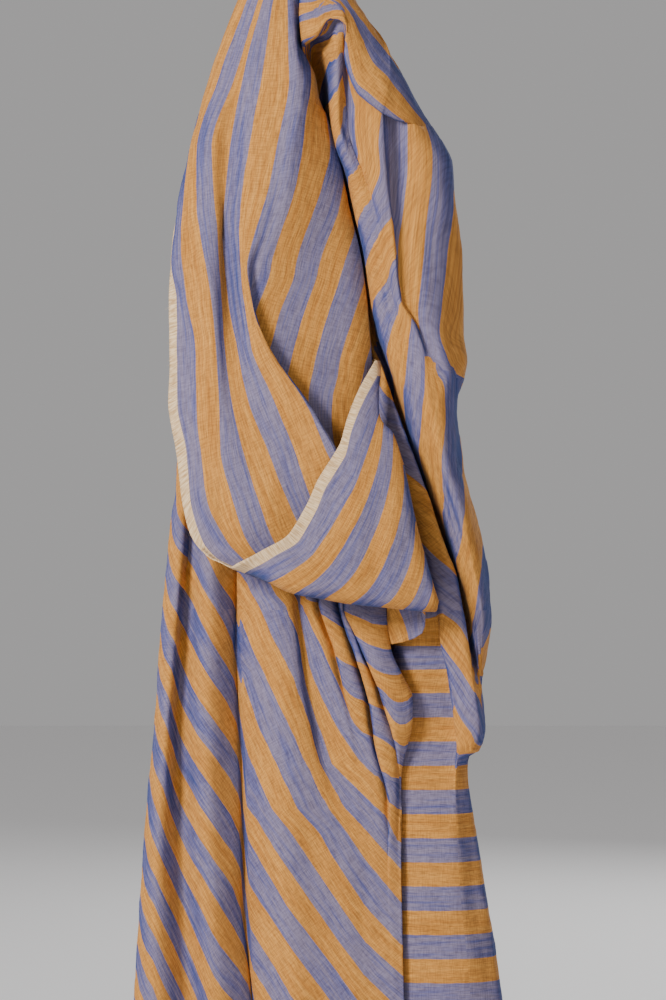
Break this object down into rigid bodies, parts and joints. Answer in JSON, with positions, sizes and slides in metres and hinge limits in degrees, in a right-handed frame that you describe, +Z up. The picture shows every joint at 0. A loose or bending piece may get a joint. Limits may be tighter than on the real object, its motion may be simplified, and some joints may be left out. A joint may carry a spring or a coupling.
{
  "type": "striped linen fabric",
  "caption": "Hanging length of blue and ochre striped linen, gathered at one point, with a cowl fold, a turned-out lip and long soft folds below.",
  "frame": {"origin": "the point that the gathered top edge hangs from", "axes": "+Z up, towards the hang point; -Y is the front, which shows the cowl; +X is to the right seen from the front"},
  "size_m": [0.2601, 0.1418, 0.7703],
  "materials": {
    "striped_linen": "soft yarn-dyed plain weave, matt, blue and ochre stripes"
  },
  "bodies": {
    "root": {"linen_cloth": "striped_linen"}
  },
  "joints": []
}
